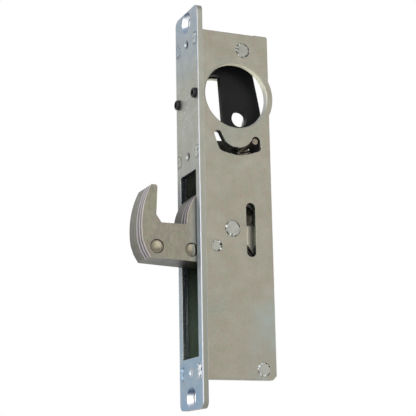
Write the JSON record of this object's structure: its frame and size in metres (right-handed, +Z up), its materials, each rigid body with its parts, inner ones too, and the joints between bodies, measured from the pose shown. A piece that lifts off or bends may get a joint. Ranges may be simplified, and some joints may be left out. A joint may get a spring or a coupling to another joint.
{
  "type": "mortise hook lock",
  "caption": "Narrow mortise lock with a laminated hook that swings out through a screw-on front plate, worked by a lever and a deadlock pin behind a round cylinder bore.",
  "frame": {"origin": "middle of the front plate's seating face, midway between the two mounting screws", "axes": "+X into the door from the front plate, +Z up along the door's edge, Y across the door's thickness; the hook is thrown towards -X with its tip up"},
  "size_m": [0.0593, 0.0254, 0.1746],
  "materials": {
    "front_zinc": "zinc plated, bluish",
    "case_zinc": "zinc plated, warm grey",
    "post_zinc": "bright zinc, staked ends",
    "hook_steel": "plated steel plies, brownish grey",
    "rivet_steel": "plain steel",
    "lever_black": "black oxide",
    "spacer_steel": "plain steel",
    "washer_bronze": "bronze washer",
    "spring_steel": "drawn wire",
    "pin_steel": "ground pin",
    "screw_black": "black oxide"
  },
  "bodies": {
    "case": {"front_plate": "front_zinc", "side_plate_near": "case_zinc", "side_plate_far": "case_zinc", "top_post": "post_zinc", "hook_pivot_post": "post_zinc", "stop_post": "post_zinc", "rear_post": "post_zinc", "lever_spacer_near": "spacer_steel", "lever_spacer_far": "spacer_steel", "hook_washer_near": "washer_bronze", "hook_washer_far": "washer_bronze"},
    "hook": {"hook_ply_1": "hook_steel", "hook_ply_2": "hook_steel", "hook_ply_3": "hook_steel", "hook_ply_4": "hook_steel", "hook_ply_5": "hook_steel", "hook_rivet_outer": "rivet_steel", "hook_rivet_inner": "rivet_steel", "drive_pin": "pin_steel"},
    "lever": {"lever": "lever_black", "pin_spring": "spring_steel"},
    "deadlock": {"deadlock_pin": "pin_steel"},
    "screw_near": {"set_screw_near": "screw_black"},
    "screw_far": {"set_screw_far": "screw_black"}
  },
  "joints": [
    {"name": "hook_swing", "type": "hinge", "parent": "case", "child": "hook", "pos_m": [0.0124, 0, -0.0122], "axis": [0, -1, 0], "range_deg": [0, 95]},
    {"name": "lever_swing", "type": "hinge", "parent": "case", "child": "lever", "pos_m": [0.0189, 0, 0.068], "axis": [0, 1, 0], "range_deg": [0, 20.6]},
    {"name": "deadlock_travel", "type": "hinge", "parent": "case", "child": "deadlock", "pos_m": [0.01558, 0, 0.0313], "axis": [0, 1, 0], "range_deg": [0, 138.9], "deforming": ["pin_spring"]},
    {"name": "set_screw_near_turn", "type": "slide", "parent": "case", "child": "screw_near", "axis": [1, 0, 0], "range_m": [-0.002, 0.0012]},
    {"name": "set_screw_far_turn", "type": "slide", "parent": "case", "child": "screw_far", "axis": [1, 0, 0], "range_m": [-0.002, 0.0012]}
  ],
  "couplings": [
    {"joint": "lever_swing", "follows": "hook_swing", "ratio": 0.21684},
    {"joint": "deadlock_travel", "follows": "hook_swing", "ratio": 1.4621}
  ]
}
